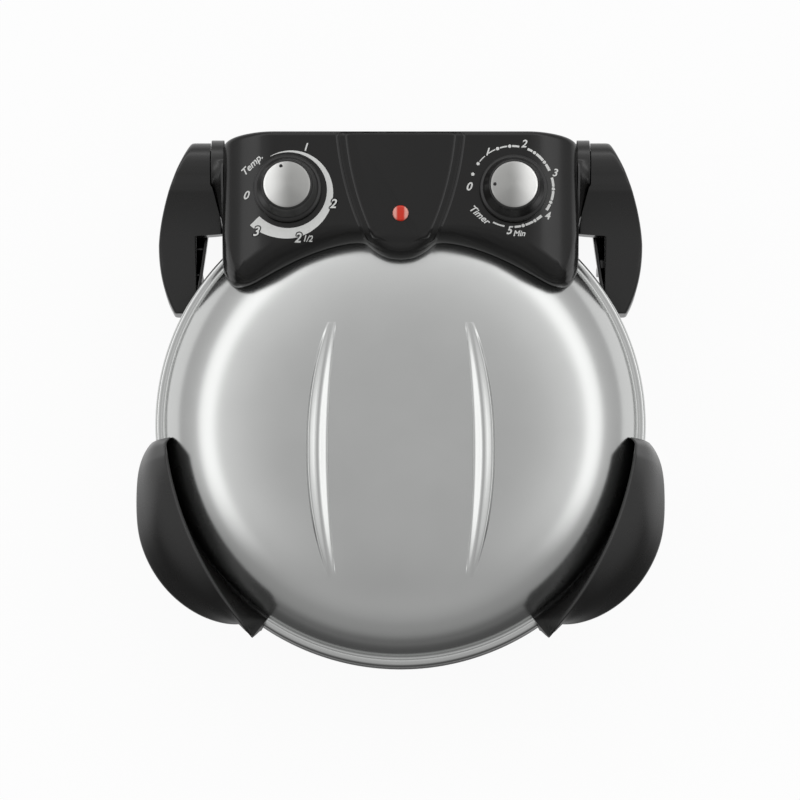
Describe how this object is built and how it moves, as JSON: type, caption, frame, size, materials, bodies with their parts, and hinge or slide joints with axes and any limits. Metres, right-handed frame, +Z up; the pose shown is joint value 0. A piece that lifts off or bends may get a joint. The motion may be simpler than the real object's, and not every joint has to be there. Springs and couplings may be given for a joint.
{
  "type": "electric pizza maker",
  "caption": "Round electric stone oven: steel bowl and hinged dome lid with wing handles, rear hinge arms, and a rear control housing with dials and pilot lamp.",
  "frame": {"origin": "on the table, under the middle of the object's bounding box", "axes": "+Z up, +Y towards the hinge at the rear, +X to the right seen from the front"},
  "size_m": [0.378, 0.3774, 0.174],
  "materials": {
    "satin_steel": "satin pressed steel",
    "bright_sheet": "bright aluminised sheet",
    "baking_stone": "unglazed refractory stone",
    "element_tube": "heat-darkened steel tube",
    "white_ceramic": "matt white ceramic",
    "mineral_wool": "pressed mineral wool",
    "cover_steel": "plain zinc-plated sheet",
    "black_plastic": "satin black heat-proof plastic",
    "knob_plastic": "black satin plastic with turned steps",
    "knob_metal": "brushed silver disc",
    "screw_steel": "zinc-plated steel",
    "bush_brass": "plain brass",
    "pad_rubber": "matt black rubber",
    "wire_insulation": "silicone wire insulation",
    "pilot_red": "clear red plastic lens",
    "lamp_glass": "small neon lamp",
    "thermostat_body": "white ceramic switch body",
    "probe_copper": "bare copper bulb and thin tube",
    "timer_case": "plain zinc-plated case"
  },
  "bodies": {
    "base": {"base_bowl": "satin_steel", "liner_pan": "bright_sheet", "stone_plate": "baking_stone", "stone_clips": "bright_sheet", "lower_element": "element_tube", "lower_element_clips": "bright_sheet", "lower_ceramic_bushes": "white_ceramic", "base_insulation": "mineral_wool", "bottom_cover": "cover_steel", "bottom_cover_screws": "screw_steel", "base_handle_left": "black_plastic", "base_handle_right": "black_plastic", "base_handle_screws": "screw_steel", "hinge_arm_left": "black_plastic", "hinge_arm_right": "black_plastic", "arm_pads": "pad_rubber", "hinge_pins": "screw_steel", "rear_frame": "black_plastic", "rear_frame_cover": "black_plastic", "frame_screws": "screw_steel", "arm_screws": "screw_steel", "cord_gland": "black_plastic", "terminal_block": "white_ceramic", "base_wires": "wire_insulation", "front_foot_left": "black_plastic", "front_foot_right": "black_plastic", "foot_pads": "pad_rubber", "foot_screws": "screw_steel"},
    "lid": {"lid_shell": "satin_steel", "lid_reflector": "bright_sheet", "lid_insulation": "mineral_wool", "upper_element": "element_tube", "upper_element_clips": "bright_sheet", "upper_ceramic_bushes": "white_ceramic", "lid_handle_left": "black_plastic", "lid_handle_right": "black_plastic", "lid_handle_screws": "screw_steel", "control_housing": "black_plastic", "heat_shield": "bright_sheet", "control_panel": "black_plastic", "panel_fascia": "black_plastic", "panel_screws": "screw_steel", "hinge_bushes": "bush_brass", "pilot_lens": "pilot_red", "pilot_lamp": "lamp_glass", "thermostat": "thermostat_body", "thermostat_bulb": "probe_copper", "thermostat_nut": "screw_steel", "timer": "timer_case", "timer_nut": "screw_steel", "timer_bell": "bush_brass", "lid_wires": "wire_insulation"},
    "temp_dial": {"thermostat_shaft": "screw_steel", "thermostat_knob": "knob_plastic", "thermostat_cap": "knob_metal"},
    "timer_dial": {"timer_shaft": "screw_steel", "timer_knob": "knob_plastic", "timer_cap": "knob_metal"}
  },
  "joints": [
    {"name": "lid_hinge", "type": "hinge", "parent": "base", "child": "lid", "pos_m": [0, 0.17075, 0.112], "axis": [-1, 0, 0], "range_deg": [0, 100]},
    {"name": "temp_dial_turn", "type": "hinge", "parent": "lid", "child": "temp_dial", "pos_m": [-0.08, 0.14425, 0.16], "axis": [0, 0, -1], "range_deg": [-72, 236]},
    {"name": "timer_dial_turn", "type": "hinge", "parent": "lid", "child": "timer_dial", "pos_m": [0.08, 0.14425, 0.16], "axis": [0, 0, -1], "range_deg": [0, 275]}
  ]
}
